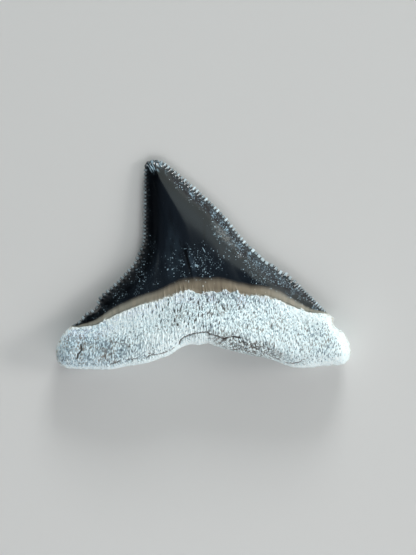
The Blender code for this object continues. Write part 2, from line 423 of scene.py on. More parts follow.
@dataclass
class ToothForm:
    """The smooth form of the tooth as a grid of stations and rows, before its fine relief."""

    outline: Outline = field(default_factory=Outline)
    heights: Heights = field(default_factory=Heights)
    rows: Rows = field(default_factory=Rows)
    along_neck: Table = ((0.0, 0.0), (0.06, 0.125), (0.20, 0.28), (0.42, 0.44), (0.77, 0.72),
                         (1.0, 1.0))
    along_rim: Table = ((0.0, 0.0), (0.06, 0.115), (0.20, 0.28), (0.42, 0.44), (0.77, 0.72),
                        (0.88, 0.925), (1.0, 1.0))
    serration_reach: float = 0.38
    reach_share: float = 0.25
    fading_serrations: int = 3
    unevenness: float = 0.5
    least_shine: float = 0.35
    uneven_seed: float = 5.0
    shine_seed: float = 6.0
    normal_window: float = 0.75
    bend_of_width: float = 0.13
    bend_of_neck: float = 0.30
    root_rounding: float = 1.35
    outer_bevel: float = 1.9
    outer_bevel_power: float = 1.6
    lip: float = 0.14
    lip_fade: float = 0.06
    crest: float = 0.35
    lip_start: float = 0.95
    lumps: Lumps = Lumps(1.6, 0.07, 0.0)
    hollow_depth: float = 0.34
    hollow_place: float = 0.47
    hollow_half_width: float = 0.24
    point_sharpness: float = 0.7
    crown_spread: float = 1.25
    lip_rows_start: float = 0.9

    def __post_init__(self) -> None:
        """Draws the lines in plan and places every station and row on them."""
        points = tuple(point for stretch in self.outline.edge for point in stretch.points)
        self.edge = PlanLine(points)
        self.rim = PlanLine(self.outline.root_rim)
        self.inner_neck = PlanLine(self.outline.inner_neck)
        self.outer_neck = PlanLine(self.outline.outer_neck)
        self.serrations = sum(stretch.serrations for stretch in self.outline.edge)
        self.last_station = self.serrations * self.rows.stations_per_serration
        self.share = np.linspace(0, 1, self.last_station + 1)[1:-1, None]
        self.along = graded(self.along_neck, self.share)

    def cutting_edge(self) -> tuple[Array, Array, Array, Array, Array]:
        """Follows the cutting edge station by station.

        Returns:
            The smooth edge, the way outwards from it, how far the serrations stand out there, how
            pale they are worn and painted bright as a highlight, and where each station is within its
            serration, from 0 at one gap to 1 at the next.
        """
        passed = self.share * self.serrations
        distances, stand_out, shine = (np.zeros_like(passed) for _ in range(3))
        count, last_point, start = 0, -1, 0.0
        for stretch in self.outline.edge:
            last_point += len(stretch.points)
            end = self.edge.distances[last_point * CURVE_STEPS]
            here = passed >= count
            share = (passed - count) / stretch.serrations
            distances = np.where(here, start + (end - start) * np.minimum(share, 1), distances)
            stand_out = np.where(here, stretch.stand_out, stand_out)
            shine = np.where(here, stretch.shine, shine)
            count, start = count + stretch.serrations, end
        outward = self.edge.left_of(distances, self.normal_window)
        fade = ease(np.minimum(passed, self.serrations - passed) / self.fading_serrations)
        whole = np.floor(passed)
        uneven, shining = chance(whole, self.uneven_seed), chance(whole, self.shine_seed)
        stand_out = stand_out * fade * (1 + self.unevenness * (uneven - 0.5))
        shine = shine * (self.least_shine + (1 - self.least_shine) * shining)
        return self.edge.at(distances), outward, stand_out, shine, passed % 1.0

    def crown_height(self, places: Array) -> Array:
        """The height of the crown's inner face, which is a lens in every section across it.

        Args:
            places: the places in plan.

        Returns:
            The heights.
        """
        left, right = (graded(table, places.imag)
                       for table in (self.outline.crown_left, self.outline.crown_right))
        across = np.clip((places.real - left) / (right - left), 0, 1)
        lens = graded(self.heights.crown_rise, places.imag) * 4 * across * (1 - across)
        return graded(self.heights.cutting_edge, self.share) + lens

    def root_height(self, places: Array, across: Array) -> Array:
        """The height of the root's inner face, before its fine relief.

        Args:
            places: the places in plan.
            across: the share of the way over the root from its rim to the neck.

        Returns:
            The heights.
        """
        neck = self.crown_height(self.inner_neck.at_shares(self.along))
        rim = graded(self.heights.root_rim, self.along)
        crest = graded(self.heights.root_crest, self.along)
        crest = crest + self.lumps.at(places) * dome(across / self.crest)
        height = rim + (crest - rim) * dome(self.rim.distance_from(places) / self.root_rounding)
        to_lip = rise(across, self.crest, self.lip_start)
        return height + (neck + self.lip_height() - height) * to_lip

    def lip_height(self) -> Array:
        """How high the root's lip stands over the neck at each station."""
        return self.lip * ease(np.minimum(self.along, 1 - self.along) / self.lip_fade)

    def under_height(self, places: Array) -> Array:
        """The height of the outer face: flat, with a bevel up to the edge and one up to the rim.

        Args:
            places: the places in plan.

        Returns:
            The heights.
        """
        from_edge = np.clip(self.edge.distance_from(places) / self.outer_bevel, 0, 1)
        bevel = (1 - from_edge) ** self.outer_bevel_power
        from_rim = dome(self.rim.distance_from(places) / self.root_rounding)
        return np.maximum(graded(self.heights.cutting_edge, self.share) * bevel,
                          graded(self.heights.root_rim, self.along) * (1 - from_rim))

    def surface(self) -> Surface:
        """Lays out the stations and rows over the whole tooth.

        Returns:
            The smooth surface, with its serrations in plan, and what each place on it is near.
        """
        root = self.rim.at_shares(graded(self.along_rim, self.share))
        inner, outer = (line.at_shares(self.along) for line in (self.inner_neck, self.outer_neck))
        edge, outward, stand_out, shine, phase = self.cutting_edge()
        to_neck = abs(edge - inner)
        inset = edge - outward * np.minimum(self.serration_reach, self.reach_share * to_neck)
        width = (graded(self.outline.crown_right, edge.imag)
                 - graded(self.outline.crown_left, edge.imag))
        bend = np.minimum(self.bend_of_width * width, self.bend_of_neck * to_neck)
        control = inset - outward * bend
        point = np.sin(np.pi * phase) ** self.point_sharpness
        serrated = edge + outward * stand_out * (point - 0.5)

        rows = self.rows
        over_root = np.concatenate([
            np.linspace(0, self.lip_rows_start, rows.root, endpoint=False),
            np.linspace(self.lip_rows_start, 1, rows.lip, endpoint=False),
        ])
        over_crown = np.linspace(0, 1, rows.crown, endpoint=False) ** self.crown_spread
        to_edge = np.linspace(0, 1, rows.edge)
        from_edge = 1 - np.linspace(0, 1, rows.under_edge + 1)[1:]
        under_crown = np.linspace(0, 1, rows.under_crown + 1)[1:]
        under_root = np.linspace(0, 1, rows.under_root + 2)[1:-1]

        plans = [
            root + (inner - root) * over_root,
            bent(inner, control, inset, over_crown),
            inset + (serrated - inset) * to_edge,
            inset + (serrated - inset) * from_edge,
            bent(inset, control, outer, under_crown),
            outer + (root - outer) * under_root,
        ]
        rim_height = graded(self.heights.cutting_edge, self.share)
        side = ease(1 - abs(self.along - self.hollow_place) / self.hollow_half_width)
        hollow = self.hollow_depth * side * np.sin(np.pi * under_root)
        inset_height, under_inset_height = self.crown_height(inset), self.under_height(inset)
        grids = [
            self.root_height(plans[0], over_root),
            self.crown_height(plans[1]),
            rim_height + (inset_height - rim_height) * (1 - to_edge),
            rim_height + (under_inset_height - rim_height) * (1 - from_edge),
            self.under_height(plans[4]),
            np.maximum(self.under_height(plans[5]), hollow),
        ]
        plan = np.concatenate(plans, axis=1)
        part = np.concatenate([np.full(grid.shape[1], here.value) for here, grid in zip(Part, grids)])
        surface = Surface(
            plan=plan,
            height=np.concatenate(grids, axis=1),
            part=part,
            along=self.along + 0 * plan.real,
            bead=point * (stand_out > 0) + 0 * plan.real,
            shine=shine + 0 * plan.real,
            neck=self.inner_neck.distance_from(plan),
            edge=self.edge.distance_from(plan),
            rim=self.rim.distance_from(plan),
        )
        neck = np.where(surface.inner(), surface.neck, self.outer_neck.distance_from(plan))
        surface.neck = np.where(surface.on_root(), -neck, neck)
        return surface

    def poles(self) -> tuple[tuple[complex, float], tuple[complex, float]]:
        """Where the cutting edge runs out on the root, on the left and on the right.

        Returns:
            The place in plan and the height of each.
        """
        ends = self.rim.samples[0], self.rim.samples[-1]
        return tuple((end, table_end[1]) for end, table_end
                     in zip(ends, (self.heights.cutting_edge[0], self.heights.cutting_edge[-1])))


# The fine relief


def adrift(drift: tuple[Lumps, Lumps], places: Array) -> Array:
    """The places, moved a little along X and along Y."""
    along_x, along_y = drift
    return places + along_x.at(places) + 1j * along_y.at(places)


@dataclass(frozen=True)
class Mark:
    """A crack or a groove along a line in plan, whole or broken into runs."""

    points: Points
    depth: float
    half_width: float
    broken: bool = False


@dataclass(frozen=True)
class Patch:
    """An oval patch in plan that fades out at its edge."""

    middle: complex
    half_width: float
    half_height: float
    turn: float = 0.0
    strength: float = 1.0

    def share(self, places: Array) -> Array:
        """How far each place belongs to the patch.

        Args:
            places: the places in plan.

        Returns:
            Their shares, from 0 to the patch's strength.
        """
        from_middle = (places - self.middle) * np.exp(-1j * math.radians(self.turn))
        away = abs(from_middle.real / self.half_width + 1j * from_middle.imag / self.half_height)
        return self.strength * ease(FADE_END - away)


def covered(patches: tuple[Patch, ...], places: Array) -> Array:
    """How far some patches cover each place together."""
    return sum(patch.share(places) for patch in patches)


@dataclass(frozen=True)
class Blob:
    """A rounded part of the root's lip that reaches out over the band."""

    x: float
    reach: float
    half_width: float


@dataclass(frozen=True)
class PitField:
    """Scattered pits in the root, drawn out from the neck towards the rim."""

    width: float
    length: float
    depth: float
    radius: float
    share: float
    seed: float


@dataclass
class RootRelief:
    """The root's ragged lip, pits, cracks and grain. Lengths are in millimetres."""

    drift: tuple[Lumps, Lumps] = (Lumps(0.7, 0.12, 1.0), Lumps(0.7, 0.12, 2.0))
    lip_setback: float = 0.07
    lip_ragged: tuple[Lumps, ...] = (Lumps(0.60, 0.22, 5.0), Lumps(0.20, 0.18, 5.0))
    lip_blobs: tuple[Blob, ...] = (
        Blob(1.97, 0.24, 0.32), Blob(-1.22, 0.20, 0.17), Blob(2.85, 0.16, 0.20),
        Blob(-8.35, 0.10, 0.17), Blob(8.35, 0.14, 0.17),
    )
    lip_middle: Patch = Patch(0.8 - 2.4j, 4.5, 3.0)
    least_ragged: float = 0.25
    lip_step: float = 0.05
    lip_band: float = 0.36
    lip_band_end: float = 1.5
    fields: tuple[PitField, ...] = (
        PitField(0.23, 0.70, 0.130, 0.23, 0.01, 3.0),
        PitField(0.17, 0.42, 0.045, 0.29, 0.40, 8.0),
    )
    most_pits: float = 0.95
    granular_pits: float = 0.8
    pit_growth: float = 0.4
    fibre_size: tuple[float, float] = (0.14, 0.40)
    fibres: Lumps = Lumps(1.0, 0.100, 11.0)
    lumps: tuple[Lumps, ...] = (
        Lumps(0.55, 0.040, 27.5), Lumps(0.24, 0.030, 12.0), Lumps(0.12, 0.018, 6.0))
    granular_gain: float = 1.2
    neck_fade: float = 0.12
    end_fade: float = 0.02
    rim_fade: float = 0.6
    least_at_rim: float = 0.35
    open_zone: Patch = Patch(-0.7 - 3.9j, 3.6, 1.0)
    granular: Patch = Patch(3.5 - 6.95j, 2.6, 0.70, -16.0)
    pale: tuple[Patch, ...] = (
        Patch(-5.6 - 4.6j, 2.8, 0.8, 24.0), Patch(-2.7 - 6.1j, 2.2, 0.9, 12.0),
        Patch(0.5 - 6.4j, 1.6, 0.5),
    )
    dull: tuple[Patch, ...] = (
        Patch(9.9 - 6.3j, 1.2, 1.1, 0.0, 0.6), Patch(-10.2 - 6.3j, 1.4, 1.0, 0.0, 0.7),
        Patch(-7.6 - 7.1j, 1.2, 0.9),
    )
    marks: tuple[Mark, ...] = (
        Mark(((-1.98, -6.72), (-1.74, -6.26), (-0.98, -5.92), (-0.28, -5.74), (0.34, -5.74),
              (0.57, -5.90), (1.25, -6.11), (1.76, -6.24), (2.44, -6.07), (3.05, -6.16)), 0.20, 0.066),
        Mark(((0.38, -5.10), (0.47, -5.45), (0.38, -5.80), (0.40, -6.20), (0.42, -6.72)), 0.08, 0.045),
        Mark(((2.70, -4.80), (2.93, -5.15), (3.05, -5.60)), 0.09, 0.05, True),
        Mark(((3.05, -6.16), (3.30, -6.55), (4.10, -6.90), (4.75, -7.30)), 0.12, 0.06, True),
        Mark(((-10.33, -6.70), (-10.30, -7.20), (-10.52, -7.55), (-10.63, -7.95)), 0.20, 0.062),
        Mark(((-7.84, -8.50), (-7.24, -8.27), (-6.22, -8.01), (-5.29, -7.97), (-4.73, -7.92),
              (-4.55, -7.73), (-3.80, -7.62), (-2.88, -7.33), (-1.98, -6.72)), 0.20, 0.060, True),
        Mark(((5.03, -7.47), (5.49, -7.68), (5.91, -7.89), (6.59, -8.19), (7.36, -8.40), (7.95, -8.32),
              (8.55, -8.49)), 0.18, 0.060, True),
        Mark(((5.74, -5.08), (5.79, -5.42)), 0.15, 0.055),
    )
    mark_drift: tuple[Lumps, Lumps] = (Lumps(0.35, 0.045, 21.0), Lumps(0.35, 0.045, 22.0))
    mark_wear: Lumps = Lumps(0.5, 0.5, 31.0)
    mark_runs: Lumps = Lumps(0.8, 1.6, 33.0)
    runs_start: float = 0.8

    def apply(self, surface: Surface, lip: Array) -> None:
        """Works the relief into the root.

        Args:
            surface: the smooth surface, which is changed.
            lip: how high the root stands over the neck at each station.
        """
        wandering = adrift(self.drift, surface.plan)
        ragged = self.ragged_neck(surface)
        inner = surface.inner()
        step = inside(ragged, self.lip_step) - inside(surface.neck, self.lip_step)
        surface.height = surface.height + np.where(inner, lip * step, 0)
        surface.neck = ragged

        clear = inside(ragged, self.neck_fade)
        clear = clear * ease(np.minimum(surface.along, 1 - surface.along) / self.end_fade)
        from_rim = ease(surface.rim / self.rim_fade)
        clear = clear * (self.least_at_rim + (1 - self.least_at_rim) * from_rim)
        pits = np.maximum.reduce([self.pits(pit_field, wandering) for pit_field in self.fields])
        surface.granular = self.granular.share(surface.plan)
        width, length = self.fibre_size
        grain = self.fibres.at(wandering.real / width + 1j * wandering.imag / length)
        for lumps in self.lumps:
            grain = grain + (1 + self.granular_gain * surface.granular) * lumps.at(surface.plan)
        cracks = self.cracks(surface) * inner
        surface.pit = np.clip(pits / self.fields[0].depth, 0, 1) * clear
        surface.crack = np.clip(cracks / self.marks[0].depth, 0, 1)
        pale, dull = (covered(patches, surface.plan) for patches in (self.pale, self.dull))
        surface.pale = np.clip(pale, 0, 1) - np.clip(dull, 0, 1)
        surface.push((grain - pits) * clear - cracks)

    def ragged_neck(self, surface: Surface) -> Array:
        """Makes the edge of the root ragged, with blobs that reach out over the band.

        Args:
            surface: the smooth surface.

        Returns:
            How far each place is past the ragged edge, negative on the root.
        """
        ragged = surface.neck + self.lip_setback
        near = ease(self.lip_band_end - abs(surface.neck) / self.lip_band)
        middle = self.least_ragged + (1 - self.least_ragged) * self.lip_middle.share(surface.plan)
        for lumps in self.lip_ragged:
            ragged = ragged + near * middle * lumps.at(surface.plan)
        for blob in self.lip_blobs:
            ragged = ragged - blob.reach * near * ridge(surface.plan.real - blob.x, blob.half_width)
        return ragged

    def pits(self, pit_field: PitField, places: Array) -> Array:
        """The depth of one scatter of pits.

        Args:
            pit_field: their sizes and how many there are.
            places: the places in plan, with the drift that the pits follow.

        Returns:
            The depth at each place, in millimetres.
        """
        distance, random = cells(
            places.real / pit_field.width + 1j * places.imag / pit_field.length, pit_field.seed)
        granular = self.granular_pits * self.granular.share(places)
        opened = np.maximum(self.open_zone.share(places), granular)
        share = pit_field.share + (self.most_pits - pit_field.share) * opened
        size = np.clip((share - random) / share, 0, 1) ** self.pit_growth
        return pit_field.depth * size * ease(FADE_END - distance / pit_field.radius)

    def cracks(self, surface: Surface) -> Array:
        """The depth of the cracks and the groove.

        Args:
            surface: the surface that they are cut into.

        Returns:
            The depth at each place, in millimetres.
        """
        places = adrift(self.mark_drift, surface.plan)
        worn = 1 + self.mark_wear.at(surface.plan)
        runs = ease(self.runs_start + self.mark_runs.at(surface.plan))
        depth = np.zeros_like(surface.height)
        for mark in self.marks:
            deepest = mark.depth * worn * (runs if mark.broken else 1.0)
            distance = PlanLine(mark.points).distance_from(places)
            depth = np.maximum(depth, deepest * ridge(distance, mark.half_width))
        return depth


@dataclass
class CrownRelief:
    """The crown's serration ridges, worn tip, fold, swollen right shoulder and low left bank.

    Lengths are in millimetres.
    """

    neck_fade: float = 0.3
    ridge_height: float = 0.090
    least_ridge: float = 0.4
    ridge_reach: float = 0.48
    valley: float = 0.45
    tip: Patch = Patch(-4.15 + 8.42j, 0.50, 0.42)
    tip_depth: float = 0.10
    fold: Points = ((-1.55, 1.15), (-1.40, 0.60), (-1.28, 0.10), (-1.10, -0.45))
    fold_depth: float = 0.110
    fold_half_width: float = 0.13
    fold_shadow: float = 0.11
    fold_bare: float = 0.2
    # Painted light: a painted bluish sheen, painted light on the fold's lit side, and a hazy worn
    # stripe.
    haze_and_painted_light: tuple[Patch, ...] = (
        Patch(-2.6 + 1.0j, 0.65, 1.9, 0.0, 0.5), Patch(-0.95 + 0.0j, 0.22, 0.9, 12.0, 1.3),
        Patch(1.6 + 2.5j, 0.26, 1.0, 38.0, 0.5),
    )
    haze_and_light_lumps: Lumps = Lumps(0.5, 1.0, 45.0)
    haze_and_light_start: float = 0.6
    ripples: tuple[Lumps, ...] = (Lumps(2.6, 0.030, 41.0), Lumps(0.9, 0.004, 41.0))
    shoulder: Patch = Patch(4.5 - 0.5j, 1.7, 1.0, -48.0)
    shoulder_height: float = 0.17
    bank: Table = ((-2.5, -4.70), (-0.9, -4.44), (0.8, -4.14), (2.5, -3.93), (5.0, -3.92))
    bank_rise: float = 0.09
    bank_width: float = 0.30
    bank_middle: float = 1.06
    bank_reach: float = 2.0
    bare: Patch = Patch(-3.85 - 0.15j, 1.0, 1.5, 20.0, 0.7)
    heel: tuple[float, float] = (-6.5, -2.5)
    least_on_heel: float = 0.65
    left_side: tuple[float, float] = (-4.0, -2.0)
    speckled_reach: tuple[float, float] = (0.65, 1.5)
    speckled: tuple[Patch, ...] = (
        Patch(-4.5 + 0.6j, 0.6, 1.4), Patch(-0.6 + 0.1j, 2.1, 1.2), Patch(-5.3 - 1.2j, 2.2, 1.3, 40.0),
        Patch(-8.3 - 3.6j, 1.6, 0.7, 40.0), Patch(5.6 - 1.0j, 2.6, 1.1, -35.0),
        Patch(2.1 + 2.3j, 1.7, 0.75, -46.0),
    )
    speckled_edge: float = 0.85
    speckled_patch: float = 0.55
    speckled_lumps: Lumps = Lumps(0.8, 0.12, 43.0)
    speckled_range: tuple[float, float] = (0.01, 0.95)

    def apply(self, surface: Surface) -> None:
        """Works the relief into the crown and notes where it is chipped, specked and hazy, and where
        light and shadow are painted.

        Args:
            surface: the surface, which is changed.
        """
        x, y = surface.plan.real, surface.plan.imag
        on_crown = ~surface.on_root() * ease(surface.neck / self.neck_fade)
        near_edge = ease(1 - surface.edge / self.ridge_reach)
        strength = self.ridge_height * (self.least_ridge + (1 - self.least_ridge) * surface.shine)
        relief = strength * near_edge * (surface.bead - self.valley)
        for ripple in self.ripples:
            relief = relief + ripple.at(surface.plan)
        inner = surface.inner()
        relief = relief + inner * self.shoulder_height * self.shoulder.share(surface.plan)
        past = (x - graded(self.bank, y)) / self.bank_width
        near = ridge(y - self.bank_middle, self.bank_reach)
        relief = relief + inner * self.bank_rise * past * ridge(past, 1.0) * near
        folded = PlanLine(self.fold).distance_from(surface.plan)
        relief = relief - inner * self.fold_depth * ridge(folded, self.fold_half_width)
        surface.push(relief * on_crown)
        surface.tip = inner * self.tip.share(surface.plan)
        surface.height = surface.height - self.tip_depth * surface.tip
        surface.speckled = self.specks(surface) * (1 - ridge(folded, self.fold_bare))
        # Painted light in these patches, less a painted shadow along the fold.
        clouds = ease(self.haze_and_light_start + self.haze_and_light_lumps.at(surface.plan))
        surface.haze_and_painted_light = covered(self.haze_and_painted_light, surface.plan) * clouds - ridge(folded, self.fold_shadow)

    def specks(self, surface: Surface) -> Array:
        """Finds where the enamel is worn to a frosting of specks.

        Args:
            surface: the surface, with how far it is from the cutting edge.

        Returns:
            How far each place is worn, from 0 to 1.
        """
        x = surface.plan.real
        left, right = self.speckled_reach
        reach = left + (right - left) * rise(x, *self.left_side)
        less = self.least_on_heel + (1 - self.least_on_heel) * rise(x, *self.heel)
        less = less * (1 - self.bare.share(surface.plan))
        at_edge = self.speckled_edge * ease(1 - surface.edge / reach)
        in_patch = self.speckled_patch * np.clip(covered(self.speckled, surface.plan), 0, 1)
        worn = at_edge + in_patch + self.speckled_lumps.at(surface.plan)
        return less * np.clip(worn, *self.speckled_range)


# Finishes


@dataclass(frozen=True)
class Ramp:
    """Where a number begins to count, where it counts in full, and for how much it counts then."""

    start: float
    end: float
    top: float = 1.0


@dataclass(frozen=True)
class Cloud:
    """Cloudy noise: the size of its lumps, its detail, and the ramp that it is read by."""

    size: float
    detail: float
    ramp: Ramp


class Value:
    """A socket of a shader, with the arithmetic that Math nodes do."""

    def __init__(self, graph: Graph, socket: bpy.types.NodeSocket) -> None:
        """Wraps the socket of a graph."""
        self.graph, self.socket = graph, socket

    def __add__(self, other: Numeric) -> Value:
        """Adds."""
        return self.graph.math("ADD", self, other)

    def __sub__(self, other: Numeric) -> Value:
        """Takes away."""
        return self.graph.math("SUBTRACT", self, other)

    def __rsub__(self, other: Numeric) -> Value:
        """Takes this away from the other."""
        return self.graph.math("SUBTRACT", other, self)

    def __mul__(self, other: Numeric) -> Value:
        """Multiplies."""
        return self.graph.math("MULTIPLY", self, other)

    def __truediv__(self, other: Numeric) -> Value:
        """Divides."""
        return self.graph.math("DIVIDE", self, other)

    def __abs__(self) -> Value:
        """Drops the sign."""
        return self.graph.math("ABSOLUTE", self)

    __radd__ = __add__
    __rmul__ = __mul__

    def on(self, ramp: Ramp) -> Value:
        """Rises smoothly from 0 at the ramp's start to its top at its end.

        Args:
            ramp: where it starts and ends, and its top.

        Returns:
            The share of the ramp.
        """
        node = self.graph.node("ShaderNodeMapRange", {"interpolation_type": "SMOOTHSTEP"}, {
            "Value": self, "From Min": ramp.start, "From Max": ramp.end, "To Max": ramp.top})
        return self.graph.out(node, "Result")


class Graph:
    """The shader of one material or world, built node by node."""

    def __init__(self, tree: bpy.types.NodeTree) -> None:
        """Empties the tree."""
        self.tree = tree
        tree.nodes.clear()

    def node(self, kind: str, settings: dict[str, object], sockets: dict[object, object]
             ) -> bpy.types.Node:
        """Adds a node.

        Args:
            kind: the node's type.
            settings: its settings, which are set first.
            sockets: the values or links of its inputs, by name or number.

        Returns:
            The node.
        """
        node = self.tree.nodes.new(kind)
        for name, setting in settings.items():
            setattr(node, name, setting)
        for name, value in sockets.items():
            if isinstance(value, Value):
                self.tree.links.new(value.socket, node.inputs[name])
            else:
                node.inputs[name].default_value = value
        return node

    def out(self, node: bpy.types.Node, name: object) -> Value:
        """One output of a node, by name or number."""
        return Value(self, node.outputs[name])

    def math(self, operation: str, *values: Numeric) -> Value:
        """A Math node."""
        return self.out(self.node("ShaderNodeMath", {"operation": operation},
                                  dict(enumerate(values))), 0)

    def largest(self, first: Value, *others: Value) -> Value:
        """The largest of some numbers.

        Args:
            first: the first number.
            *others: the rest of them.

        Returns:
            The largest.
        """
        for other in others:
            first = self.math("MAXIMUM", other, first)
        return first

    def parts(self, vector: Value) -> list[Value]:
        """The three numbers of a vector."""
        split = self.node("ShaderNodeSeparateXYZ", {}, {0: vector})
        return [self.out(split, name) for name in "XYZ"]

    def attribute(self, name: str) -> Value:
        """A number that the mesh carries at each vertex."""
        return self.out(self.node("ShaderNodeAttribute", {"attribute_name": name}, {}), "Fac")

    def place(self) -> Value:
        """Where each point of the surface is.

        Returns:
            Its object coordinates in millimetres.
        """
        found = self.node("ShaderNodeTexCoord", {}, {})
        scaled = self.node("ShaderNodeVectorMath", {"operation": "SCALE"},
                           {0: self.out(found, "Object"), "Scale": 1 / MM})
        return self.out(scaled, 0)

    def stretched(self, vector: Value, scale: Triple, turn: float = 0.0,
                  middle: Triple = (0, 0, 0)) -> Value:
        """Centres, turns and stretches a pattern.

        Args:
            vector: the vector that the pattern follows.
            scale: how far the pattern is stretched along each axis.
            turn: how far it is turned about Z, in degrees.
            middle: where it is centred.

        Returns:
            The vector in the pattern's own frame.
        """
        node = self.node("ShaderNodeMapping", {"vector_type": "TEXTURE"}, {
            "Vector": vector, "Location": middle, "Rotation": (0, 0, math.radians(turn)),
            "Scale": scale})
        return self.out(node, "Vector")

    def oval(self, place: Value, scar: Scar) -> Value:
        """How far each place is from the middle of a scar.

        Args:
            place: where each point of the surface is.
            scar: the scar.

        Returns:
            The distance, which is 1 at the scar's outline.
        """
        scale = (scar.half_length, scar.half_width, ANY_HEIGHT)
        inside = self.stretched(place, scale, scar.turn, (*scar.middle, 0))
        length = self.node("ShaderNodeVectorMath", {"operation": "LENGTH"}, {0: inside})
        return self.out(length, "Value")

    def noise(self, vector: Value, size: float, detail: float = 2.0) -> Value:
        """Cloudy noise with lumps of one size.

        Args:
            vector: the vector that it follows.
            size: the size of its lumps.
            detail: how many finer layers lie over them.

        Returns:
            The noise, from 0 to 1.
        """
        node = self.node("ShaderNodeTexNoise", {"noise_dimensions": "3D"},
                         {"Vector": vector, "Scale": 1 / size, "Detail": detail})
        return self.out(node, "Fac")

    def cloud(self, vector: Value, cloud: Cloud) -> Value:
        """Where a cloud shows, from 0 to its ramp's top."""
        return self.noise(vector, cloud.size, cloud.detail).on(cloud.ramp)

    def scatter(self, vector: Value, size: float) -> tuple[Value, Value, Value]:
        """Scatters points through space.

        Args:
            vector: the vector that the scatter follows.
            size: how far apart the points are.

        Returns:
            For each place, the distance to its nearest point and that point's two random shares.
        """
        node = self.node("ShaderNodeTexVoronoi", {"voronoi_dimensions": "3D"},
                         {"Vector": vector, "Scale": 1 / size})
        first, second, _ = self.parts(self.out(node, "Color"))
        return self.out(node, "Distance"), first, second

    def mix(self, share: Numeric, below: Union[Colour, Value], above: Union[Colour, Value]
            ) -> Value:
        """Blends two colours.

        Args:
            share: how much of the second shows.
            below: the first colour.
            above: the second colour.

        Returns:
            The blend.
        """
        first, second = (colour if isinstance(colour, Value) else (*colour, 1.0)
                         for colour in (below, above))
        # A Mix node's colours are its inputs 6 and 7 and its output 2, because names repeat there.
        node = self.node("ShaderNodeMix", {"data_type": "RGBA"}, {0: share, 6: first, 7: second})
        return self.out(node, 2)


@dataclass(frozen=True)
class Look:
    """What one finish shows: its colour, its roughness, and its bumps in millimetres."""

    colour: Value
    roughness: Value
    bumps: Value


@dataclass(frozen=True)
class Scar:
    """A small oval scratch in plan, in millimetres and degrees."""

    middle: tuple[float, float]
    half_length: float
    half_width: float
    turn: float


